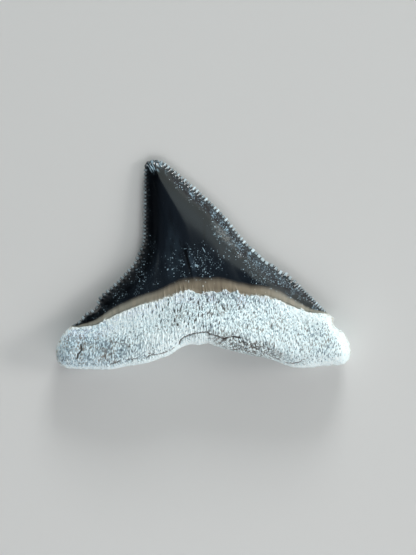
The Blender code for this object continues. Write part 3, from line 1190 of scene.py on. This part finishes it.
@dataclass(frozen=True)
class EnamelFinish:
    """Glossy blue-black enamel, worn to pale beads, a bluish ridge, a streak and fine specks, with a
    painted sheen, painted highlights on the beads and painted light and shadow by the fold.
    """

    dark: Colour = (0.0012, 0.0016, 0.0020)
    painted_sheen: Colour = (0.0075, 0.0110, 0.0160)
    sheen_inside: Ramp = Ramp(0.9, 1.9)
    sheen_stretch: Triple = (0.6, 4.0, 1.0)
    sheen_folds: Cloud = Cloud(1.3, 2.0, Ramp(0.10, 0.50))
    clumps: Cloud = Cloud(0.60, 2.0, Ramp(0.26, 0.62))
    frost: Colour = (0.006, 0.011, 0.016)
    frost_cover: float = 0.9
    haze_and_painted_light: Colour = (0.030, 0.047, 0.064)
    speck: Colour = (0.40, 0.57, 0.67)
    speck_sizes: tuple[float, ...] = (0.200, 0.145, 0.110)
    speck_share: Ramp = Ramp(1.0, 1.1)
    speck_crowding: float = 1.2
    speck_radius: Ramp = Ramp(0.42, 0.16)
    least_strength: float = 0.3
    clear_of_edge: Ramp = Ramp(0.30, 0.50)
    nearer_on_right: float = 0.10
    right_part: Ramp = Ramp(-4.6, -2.2)
    lit_on_left: float = 0.62
    dust: Cloud = Cloud(0.085, 1.0, Ramp(0.50, 0.74, 0.10))
    # Pale worn serration points, partly a painted highlight.
    bead: Colour = (0.58, 0.72, 0.78)
    bead_reach: tuple[float, float] = (0.18, 0.31)
    bead_end: Ramp = Ramp(1.0, 0.4)
    bead_width: Ramp = Ramp(0.66, 0.90)
    chipped: Colour = (0.24, 0.37, 0.46)
    worn_ridge: float = 0.55
    worn_ridge_width: Ramp = Ramp(0.30, 0.06)
    worn_cover: float = 0.9
    worn_grains: Cloud = Cloud(0.15, 2.0, Ramp(0.43, 0.62))
    worn_shine: Ramp = Ramp(0.62, 0.90)
    worn_runs: Cloud = Cloud(0.9, 1.0, Ramp(0.24, 0.48))
    chip_stretch: Triple = (0.13, 0.60, 1.0)
    chip_turn: float = 27.0
    chips: Cloud = Cloud(1.0, 1.0, Ramp(0.44, 0.62))
    rubbed: Colour = (0.150, 0.155, 0.150)
    rub: Scar = Scar((1.72, 2.50), 1.45, 0.40, -47.0)
    rub_end: Ramp = Ramp(1.3, 0.2)
    rub_grains: Cloud = Cloud(0.13, 3.0, Ramp(0.36, 0.66))
    scars: tuple[Scar, ...] = (
        Scar((-1.52, 1.33), 0.16, 0.030, 4.0), Scar((-1.08, 1.30), 0.12, 0.026, -8.0),
        Scar((0.05, 1.22), 0.32, 0.050, -62.0), Scar((-0.56, -0.08), 0.22, 0.100, -12.0),
        Scar((-1.62, 0.00), 0.10, 0.080, 30.0), Scar((-3.00, -0.42), 0.12, 0.080, 50.0),
    )
    scar_end: Ramp = Ramp(1.0, 0.5, 0.7)
    roughness: float = 0.14
    worn_roughness: float = 0.50
    matt_roughness: float = 0.06
    matt_heel: Ramp = Ramp(-2.5, -4.0, 0.14)
    grain_size: float = 0.09
    grain_depth: float = 0.004

    def specks(self, graph: Graph, place: Value, density: Value) -> Value:
        """How strongly the scattered specks show, painted dimmer on the left as painted shade, and
        none at the very edge.

        Args:
            graph: the shader that it goes into.
            place: where each point of the surface is.
            density: how crowded they are.

        Returns:
            Their strength.
        """
        x, _, _ = graph.parts(place)
        # Painted shade: the specks are dimmer on the left, where less light falls.
        right = x.on(self.right_part)
        lit = self.lit_on_left + (1 - self.lit_on_left) * right
        clear = (graph.attribute("edge") + self.nearer_on_right * right).on(self.clear_of_edge)
        sizes = []
        for size in self.speck_sizes:
            distance, random, strength = graph.scatter(place, size)
            shown = (random + self.speck_crowding * density).on(self.speck_share)
            shown = shown * distance.on(self.speck_radius) * clear * lit
            lift = self.least_strength + (1 - self.least_strength) * strength
            sizes.append(shown * strength * strength * lift)
        return graph.largest(*sizes)

    def look(self, graph: Graph) -> Look:
        """Builds the finish.

        Args:
            graph: the shader that it goes into.

        Returns:
            What it shows.
        """
        place = graph.place()
        edge, shine, haze_and_painted_light = (graph.attribute(name) for name in ("edge", "shine", "haze_and_painted_light"))
        density = graph.attribute("speckled") * graph.cloud(place, self.clumps)
        specks = self.specks(graph, place, density)
        # Pale worn serration points, also brightened as painted highlights.
        least, most = self.bead_reach
        worn_and_glinting_beads = (edge / (least + (most - least) * shine)).on(self.bead_end)
        worn_and_glinting_beads = worn_and_glinting_beads * graph.attribute("bead").on(self.bead_width) * shine
        worn = abs(edge - self.worn_ridge).on(self.worn_ridge_width) * shine.on(self.worn_shine)
        worn = worn * graph.cloud(place, self.worn_grains) * graph.cloud(place, self.worn_runs)
        flakes = graph.stretched(place, self.chip_stretch, self.chip_turn)
        chips = graph.cloud(flakes, self.chips) * graph.attribute("tip")
        painted_sheen_streaks = graph.cloud(graph.stretched(place, self.sheen_stretch), self.sheen_folds)
        rubbed = graph.oval(place, self.rub).on(self.rub_end) * graph.cloud(place, self.rub_grains)

        # A painted sheen: a bluish reflection painted into the colour inside the crown, away from its
        # edges.
        colour = graph.mix(edge.on(self.sheen_inside) * painted_sheen_streaks, self.dark, self.painted_sheen)
        colour = graph.mix(density * self.frost_cover, colour, self.frost)
        colour = graph.mix(graph.cloud(place, self.dust) * density, colour, self.speck)
        # Painted light where this number is above 0, and a painted shadow in the fold, where it is
        # below 0.
        colour = graph.mix(0 - haze_and_painted_light, graph.mix(haze_and_painted_light, colour, self.haze_and_painted_light), self.dark)
        for share, above in (
            (worn * self.worn_cover, self.chipped), (chips, self.speck), (worn_and_glinting_beads, self.bead),
            (specks, self.speck), (rubbed, self.rubbed),
        ):
            colour = graph.mix(share, colour, above)
        for scar in self.scars:
            colour = graph.mix(graph.oval(place, scar).on(self.scar_end), colour, self.speck)

        x, _, _ = graph.parts(place)
        matt = density * (self.matt_roughness + x.on(self.matt_heel))
        rough = (self.worn_roughness - self.roughness) * graph.largest(specks, worn_and_glinting_beads, worn)
        bumps = self.grain_depth * (density * graph.noise(place, self.grain_size) - specks)
        return Look(colour, self.roughness + rough + matt, bumps)


@dataclass(frozen=True)
class BandFinish:
    """The dull brown band of the neck, streaked across, dark where the enamel begins and painted pale
    along the root's lip as painted light.
    """

    middle: Colour = (0.215, 0.178, 0.122)
    sides: Colour = (0.272, 0.262, 0.212)
    middle_x: float = 1.0
    to_sides: Ramp = Ramp(2.0, 8.0)
    streak_size: Triple = (0.28, 2.5, 2.5)
    dark: Colour = (0.070, 0.045, 0.032)
    dark_streaks: Ramp = Ramp(0.48, 0.28, 0.32)
    pale: Colour = (0.37, 0.31, 0.24)
    pale_streaks: Ramp = Ramp(0.52, 0.72, 0.60)
    crumb: Colour = (0.62, 0.66, 0.62)
    lip_painted_light: Ramp = Ramp(0.16, 0.02, 0.5)
    lip_painted_light_sides: Ramp = Ramp(1.5, 4.0)
    crumb_size: float = 0.24
    crumb_share: Ramp = Ramp(0.95, 0.97)
    crumb_radius: Ramp = Ramp(0.55, 0.38)
    crumb_ragged: float = 0.5
    ragged_size: float = 0.12
    crumbs_x: float = -0.8
    crumbs_reach: Ramp = Ramp(2.8, 1.4, 0.16)
    roughness: float = 0.48
    grain_size: float = 0.10
    grain_roughness: float = 0.15
    grain_depth: float = 0.004
    crumb_height: float = 0.03

    def look(self, graph: Graph) -> Look:
        """Builds the finish.

        Args:
            graph: the shader that it goes into.

        Returns:
            What it shows.
        """
        place = graph.place()
        x, _, _ = graph.parts(place)
        far = abs(x - self.middle_x)
        colour = graph.mix(far.on(self.to_sides), self.middle, self.sides)
        streaks = graph.noise(graph.stretched(place, self.streak_size), 1.0)
        colour = graph.mix(streaks.on(self.dark_streaks), colour, self.dark)
        colour = graph.mix(streaks.on(self.pale_streaks), colour, self.pale)
        # Painted light: the band is painted pale in the crumbs' colour next to the root's lip, where
        # the root shades it.
        lip_painted_light = graph.attribute("neck").on(self.lip_painted_light) * far.on(self.lip_painted_light_sides)
        colour = graph.mix(lip_painted_light, colour, self.crumb)
        distance, random, _ = graph.scatter(place, self.crumb_size)
        crumbs = (random + abs(x - self.crumbs_x).on(self.crumbs_reach)).on(self.crumb_share)
        ragged = self.crumb_ragged * graph.noise(place, self.ragged_size, detail=1.0)
        crumbs = crumbs * (distance + ragged).on(self.crumb_radius)
        colour = graph.mix(crumbs, colour, self.crumb)
        grain = graph.noise(place, self.grain_size)
        return Look(colour, self.roughness + self.grain_roughness * grain,
                    self.grain_depth * grain + self.crumb_height * crumbs)


@dataclass(frozen=True)
class RootFinish:
    """Chalky pale root, painted bluer and darker on the left as painted shade and lit creamy on the
    right, dark in its pits and cracks, with painted shade under the lip and at the lobes' rims.
    """

    mottle_size: float = 0.9
    shaded_cool: Colour = (0.62, 0.81, 0.90)
    lit_warm: Colour = (0.74, 0.90, 0.94)
    lit_side: Ramp = Ramp(-10.5, -4.0)
    lit_side_wander: float = 6.0
    painted_lilac_shade: Colour = (0.44, 0.52, 0.70)
    lilac_depth: Ramp = Ramp(-1.6, -0.3)
    lilac_mottle: Ramp = Ramp(0.40, 0.60)
    lilac_reach: Ramp = Ramp(9.0, 2.0, 0.55)
    stroke_size: Triple = (0.092, 0.26, 0.15)
    stroke_turn: float = -6.8755
    rim_depth: Ramp = Ramp(0.42, 0.16)
    wide_rim: Ramp = Ramp(9.5, 11.5, 0.5)
    rim_lift: float = 0.10
    pale_lift: float = 0.075
    near_lip: Ramp = Ramp(-1.0, -0.3)
    greyer_x: float = 2.9
    greyer: Ramp = Ramp(4.6, 1.4)
    grey_drop: float = 1.7
    right_lift: Ramp = Ramp(5.0, 9.0, 0.030)
    shade: Colour = (0.20, 0.26, 0.30)
    earthy: Colour = (0.25, 0.24, 0.22)
    earthy_mottle: Ramp = Ramp(0.42, 0.62)
    shaded: Ramp = Ramp(0.49, 0.40, 0.95)
    bright: Colour = (0.90, 0.98, 0.98)
    brightened: Ramp = Ramp(0.53, 0.61, 0.85)
    granular_height: Ramp = Ramp(0.4, 1.9)
    granule_size: float = 0.23
    granule_ragged: float = 0.6
    ragged_size: float = 0.14
    granule: Ramp = Ramp(0.42, 0.20, 0.75)
    crumb: Colour = (0.110, 0.090, 0.072)
    crumbs: Ramp = Ramp(0.49, 0.66, 0.85)
    cavity: Colour = (0.090, 0.090, 0.088)
    pit_mottle: float = 0.8
    pitted: Ramp = Ramp(0.40, 0.66, 0.95)
    lip_depth: Ramp = Ramp(-0.20, -0.06)
    lip_mottle: Ramp = Ramp(0.36, 0.52)
    lip_cover: float = 0.8
    lip_grey: float = 0.35
    tan: Colour = (0.35, 0.29, 0.20)
    lobes: Ramp = Ramp(8.0, 11.0, 0.75)
    rim_shade_cloud: Cloud = Cloud(0.40, 4.0, Ramp(0.42, 0.66))
    rim_shade_height: float = 1.8
    rim_shade_wander: float = 1.6
    rim_shade_width: Ramp = Ramp(0.80, 0.05)
    rim_shade_depth: Ramp = Ramp(0.30, 0.08)
    crevice: Colour = (0.055, 0.038, 0.030)
    cracked: Ramp = Ramp(0.18, 0.70, 0.9)
    roughness: float = 0.86
    stroke_roughness: float = 0.1
    stroke_depth: float = 0.040
    grain_size: float = 0.07
    grain_depth: float = 0.014

    def look(self, graph: Graph) -> Look:
        """Builds the finish.

        Args:
            graph: the shader that it goes into.

        Returns:
            What it shows.
        """
        place = graph.place()
        x, _, z = graph.parts(place)
        pit, crack, rim, neck, pale = (
            graph.attribute(name) for name in ("pit", "crack", "rim", "neck", "pale"))
        mottle = graph.noise(place, self.mottle_size, detail=3.0)
        granular = graph.attribute("granular") * z.on(self.granular_height)
        greyer = abs(x - self.greyer_x).on(self.greyer)
        smooth_rim = (rim - x.on(self.wide_rim)).on(self.rim_depth) * (1 - granular)
        near_lip = neck.on(self.near_lip) * (1 - self.grey_drop * greyer)
        strokes = graph.noise(graph.stretched(place, self.stroke_size, self.stroke_turn), 1.0)
        strokes = strokes + self.rim_lift * smooth_rim + self.pale_lift * (pale + near_lip)
        strokes = strokes + x.on(self.right_lift)

        # Painted shade and light: the root is painted bluer and darker on the left and creamy on the
        # right.
        lit_share = (x + self.lit_side_wander * (mottle - 0.5)).on(self.lit_side)
        colour = graph.mix(lit_share, self.shaded_cool, self.lit_warm)
        # Painted shade: lilac just under the root's lip, less towards the right.
        shade_under_lip = neck.on(self.lilac_depth) * mottle.on(self.lilac_mottle) * x.on(self.lilac_reach)
        colour = graph.mix(shade_under_lip, colour, self.painted_lilac_shade)
        shade = graph.mix(mottle.on(self.earthy_mottle), self.shade, self.earthy)
        colour = graph.mix(strokes.on(self.shaded), colour, shade)
        colour = graph.mix(strokes.on(self.brightened), colour, self.bright)

        distance, _, _ = graph.scatter(place, self.granule_size)
        distance = distance + self.granule_ragged * (graph.noise(place, self.ragged_size) - 0.5)
        colour = graph.mix(distance.on(self.granule) * granular, colour, self.bright)
        colour = graph.mix(distance.on(self.crumbs) * granular, colour, self.crumb)
        pit = pit * (1 + self.pit_mottle * (mottle - 0.5))
        colour = graph.mix(pit.on(self.pitted), colour, self.cavity)
        lip = neck.on(self.lip_depth) * mottle.on(self.lip_mottle)
        colour = graph.mix(lip * (self.lip_cover - self.lip_grey * greyer), colour, self.bright)

        # Painted shade: tan at the rims of the lobes' ends, where they curve away.
        level = abs(z - self.rim_shade_height + self.rim_shade_wander * (mottle - 0.5))
        rim_shaded = abs(x).on(self.lobes) * graph.cloud(place, self.rim_shade_cloud)
        rim_shaded = rim_shaded * level.on(self.rim_shade_width) * rim.on(self.rim_shade_depth)
        colour = graph.mix(rim_shaded, colour, self.tan)
        colour = graph.mix(crack.on(self.cracked), colour, self.crevice)
        grain = graph.noise(place, self.grain_size, detail=1.0)
        return Look(colour, self.roughness + self.stroke_roughness * (1 - strokes),
                    self.stroke_depth * strokes + self.grain_depth * grain)


@dataclass(frozen=True)
class ToothFinish:
    """The one material of the tooth, which goes from root to band to enamel."""

    enamel: EnamelFinish = EnamelFinish()
    band: BandFinish = BandFinish()
    root: RootFinish = RootFinish()
    refraction: float = 1.6
    off_root: Ramp = Ramp(-0.015, 0.02)
    on_enamel: Ramp = Ramp(0.62, 1.42)
    blend_size: float = 0.8
    blend_wander: float = 0.22

    def build(self) -> bpy.types.Material:
        """Builds the material.

        Returns:
            The material.
        """
        material = bpy.data.materials.new("fossil tooth")
        material.use_nodes = True
        graph = Graph(material.node_tree)
        enamel, band, root = (finish.look(graph) for finish in (self.enamel, self.band, self.root))
        off_root = graph.attribute("neck").on(self.off_root)
        wander = self.blend_wander * (graph.noise(graph.place(), self.blend_size) - 0.5)
        on_enamel = (graph.attribute("band") + wander).on(self.on_enamel)

        def joined(first: Value, second: Value, third: Value) -> Value:
            """Blends root, band and enamel numbers by where they meet."""
            crown = second + on_enamel * (third - second)
            return first + off_root * (crown - first)

        colour = graph.mix(off_root, root.colour, graph.mix(on_enamel, band.colour, enamel.colour))
        bump = graph.node("ShaderNodeBump", {}, {
            "Strength": 1.0, "Distance": MM, "Height": joined(root.bumps, band.bumps, enamel.bumps)})
        shader = graph.node("ShaderNodeBsdfPrincipled", {}, {
            "Base Color": colour,
            "Roughness": joined(root.roughness, band.roughness, enamel.roughness),
            "IOR": self.refraction, "Normal": graph.out(bump, "Normal")})
        graph.node("ShaderNodeOutputMaterial", {}, {"Surface": graph.out(shader, "BSDF")})
        return material


# The sub-assemblies


@dataclass
class FossilTooth:
    """The whole tooth, root and crown in one piece."""

    form: ToothForm = field(default_factory=ToothForm)
    root_relief: RootRelief = field(default_factory=RootRelief)
    crown_relief: CrownRelief = field(default_factory=CrownRelief)
    finish: ToothFinish = ToothFinish()
    band_width: Table = ((-11.2, 0.10), (-9.5, 0.34), (-7.0, 0.60), (-4.0, 0.67), (-2.2, 0.83),
                         (-0.6, 1.00), (0.9, 0.98), (2.4, 0.80), (4.0, 0.73), (6.5, 0.64),
                         (8.5, 0.42), (10.6, 0.12))

    def build(self) -> bpy.types.Object:
        """Builds the tooth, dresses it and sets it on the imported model.

        Returns:
            The piece.
        """
        surface = self.form.surface()
        self.root_relief.apply(surface, self.form.lip_height())
        self.crown_relief.apply(surface)
        mesh = self.mesh(surface)
        piece = bpy.data.objects.new("fossil_tooth", mesh)
        bpy.context.scene.collection.objects.link(piece)
        mesh.materials.append(self.finish.build())
        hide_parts("tooth")
        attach(piece, "root")
        return piece

    def mesh(self, surface: Surface) -> bpy.types.Mesh:
        """Wraps a ball of vertices onto the surface.

        Args:
            surface: the finished surface.

        Returns:
            The mesh, with what each vertex is near as its attributes.
        """
        stations, rows = self.form.last_station, surface.plan.shape[1]
        ball = bmesh.new()
        bmesh.ops.create_uvsphere(ball, u_segments=rows, v_segments=stations, radius=1)
        mesh = bpy.data.meshes.new("fossil_tooth")
        ball.to_mesh(mesh)
        ball.free()
        spots = np.empty(len(mesh.vertices) * 3)
        mesh.vertices.foreach_get("co", spots)
        x, y, z = spots.reshape(-1, 3).T
        station = np.rint(np.arctan2(np.hypot(x, y), z) / np.pi * stations).astype(int)
        row = np.rint(np.arctan2(y, x) / (2 * np.pi) * rows).astype(int) % rows
        first, last = self.form.poles()

        def spread(grid: Array, start: complex, end: complex) -> Array:
            """A grid's values in the order of the vertices, with those of the two poles."""
            return np.vstack([np.full(rows, start), grid, np.full(rows, end)])[station, row]

        plan = spread(surface.plan, first[0], last[0])
        height = spread(surface.height, first[1], last[1])
        mesh.vertices.foreach_set("co", (np.stack([plan.real, plan.imag, height], 1) * MM).ravel())
        band_start, band_end = self.band_width[0][0], self.band_width[-1][0]
        width = graded(self.band_width, np.clip(surface.plan.real, band_start, band_end))
        numbers = {"band": surface.neck / width, **{name: getattr(surface, name) for name in SHOWN}}
        for name, grid in numbers.items():
            values = spread(grid, grid[0].mean(), grid[-1].mean())
            mesh.attributes.new(name, "FLOAT", "POINT").data.foreach_set("value", values)
        mesh.shade_smooth()
        return mesh


@dataclass(frozen=True)
class Softbox:
    """A flat light that hangs level over the table, with sizes in millimetres."""

    name: str
    middle: tuple[float, float, float]
    size: tuple[float, float]
    turn: float
    radiance: float
    colour: Colour
    facing_tooth: bool = False


@dataclass
class Studio:
    """The pale floor, the lights and the surroundings."""

    floor_width: float = 3000.0
    floor_gap: float = 0.02
    floor_colour: Colour = (0.66, 0.66, 0.65)
    floor_blotch: Colour = (0.5, 0.5, 0.5)
    blotch_size: float = 30.0
    blotch_cover: float = 0.06
    floor_roughness: float = 0.8
    zenith: Colour = (0.015, 0.020, 0.031)
    horizon: Colour = (0.65, 0.66, 0.68)
    dim_side: float = 0.10
    bright_side: Ramp = Ramp(-0.9, 0.5)
    side_lean: float = 0.3
    low_sky: Ramp = Ramp(0.50, 0.20)
    softboxes: tuple[Softbox, ...] = (
        Softbox("upper right softbox", (309, 466, 300), (918, 450), 17.0, 0.67, (0.88, 1.0, 0.96)),
        Softbox("blue card", (-120, 60, 300), (270, 120), 0.0, 0.03, (0.70, 0.85, 1.0)),
        Softbox("front softbox", (180, -420, 300), (800, 560), 0.0, 1.5, (1.0, 1.0, 1.0)),
        Softbox("right key", (600, 20, 280), (220, 180), 0.0, 10.5, (1.0, 0.99, 0.97), True),
        Softbox("top key", (120, 640, 260), (260, 180), 0.0, 14.0, (0.98, 1.0, 1.0), True),
    )

    def build_floor(self) -> bpy.types.Object:
        """Builds the floor, which isn't part of the tooth.

        Returns:
            The floor's object.
        """
        sheet = bmesh.new()
        bmesh.ops.create_grid(sheet, x_segments=1, y_segments=1, size=self.floor_width / 2 * MM)
        mesh = bpy.data.meshes.new("floor")
        sheet.to_mesh(mesh)
        sheet.free()
        mesh.transform(Matrix.Translation((0, 0, -self.floor_gap * MM)))
        floor = bpy.data.objects.new("floor", mesh)
        bpy.context.scene.collection.objects.link(floor)
        material = bpy.data.materials.new("floor")
        material.use_nodes = True
        graph = Graph(material.node_tree)
        blotches = graph.noise(graph.place(), self.blotch_size) * self.blotch_cover
        colour = graph.mix(blotches, self.floor_colour, self.floor_blotch)
        shader = graph.node("ShaderNodeBsdfPrincipled", {}, {
            "Base Color": colour, "Roughness": self.floor_roughness})
        graph.node("ShaderNodeOutputMaterial", {}, {"Surface": graph.out(shader, "BSDF")})
        mesh.materials.append(material)
        return floor

    def hang(self, softbox: Softbox) -> bpy.types.Object:
        """Hangs one softbox.

        Args:
            softbox: its place, size and light.

        Returns:
            The light's object.
        """
        light = bpy.data.lights.new(softbox.name, "AREA")
        light.shape = "RECTANGLE"
        light.size, light.size_y = (side * MM for side in softbox.size)
        light.energy = softbox.radiance * ENERGY_FOR_RADIANCE * light.size * light.size_y
        light.color = softbox.colour
        hung = bpy.data.objects.new(softbox.name, light)
        hung.location = Vector(softbox.middle) * MM
        if softbox.facing_tooth:
            hung.rotation_euler = hung.location.to_track_quat("Z", "Y").to_euler()
        else:
            hung.rotation_euler = (0, 0, math.radians(softbox.turn))
        hung.visible_camera = False
        bpy.context.scene.collection.objects.link(hung)
        return hung

    def surround(self) -> None:
        """Surrounds the scene with light that is dim overhead and pale round the horizon."""
        world = bpy.data.worlds.new("studio")
        world.use_nodes = True
        graph = Graph(world.node_tree)
        direction = graph.out(graph.node("ShaderNodeTexCoord", {}, {}), "Generated")
        x, y, z = graph.parts(direction)
        side = (x + self.side_lean * y).on(self.bright_side)
        glow = z.on(self.low_sky) * (self.dim_side + (1 - self.dim_side) * side)
        colour = graph.mix(glow, self.zenith, self.horizon)
        background = graph.node("ShaderNodeBackground", {}, {"Color": colour, "Strength": 1.0})
        graph.node("ShaderNodeOutputWorld", {}, {"Surface": graph.out(background, "Background")})
        bpy.context.scene.world = world


@dataclass
class Viewpoint:
    """The camera, which looks straight down. Sizes are in millimetres."""

    aim: tuple[float, float, float] = (0.40, -1.10, 1.20)
    frame_height: float = 47.1
    lens: float = 180.0
    sensor: float = 36.0
    nearest: float = 10.0

    def build(self) -> bpy.types.Object:
        """Sets the camera up over the tooth.

        Returns:
            The camera's object.
        """
        camera = bpy.data.cameras.new("camera")
        camera.sensor_fit = "VERTICAL"
        camera.sensor_height = self.sensor
        camera.lens = self.lens
        camera.clip_start = self.nearest * MM
        placed = bpy.data.objects.new("camera", camera)
        x, y, z = self.aim
        placed.location = Vector((x, y, z + self.frame_height * self.lens / self.sensor)) * MM
        bpy.context.scene.collection.objects.link(placed)
        bpy.context.scene.camera = placed
        return placed


def main() -> None:
    """Builds the tooth and the studio."""
    logging.basicConfig(level=logging.INFO, format="%(name)s: %(message)s")
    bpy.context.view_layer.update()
    tooth = FossilTooth().build()
    LOG.info("%s: %d faces", tooth.name, len(tooth.data.polygons))
    studio = Studio()
    LOG.info("%s laid", studio.build_floor().name)
    for softbox in studio.softboxes:
        LOG.info("%s hung", studio.hang(softbox).name)
    studio.surround()
    LOG.info("%s set", Viewpoint().build().name)
    bpy.context.scene.view_settings.view_transform = "Standard"


if __name__ == "__main__":
    main()
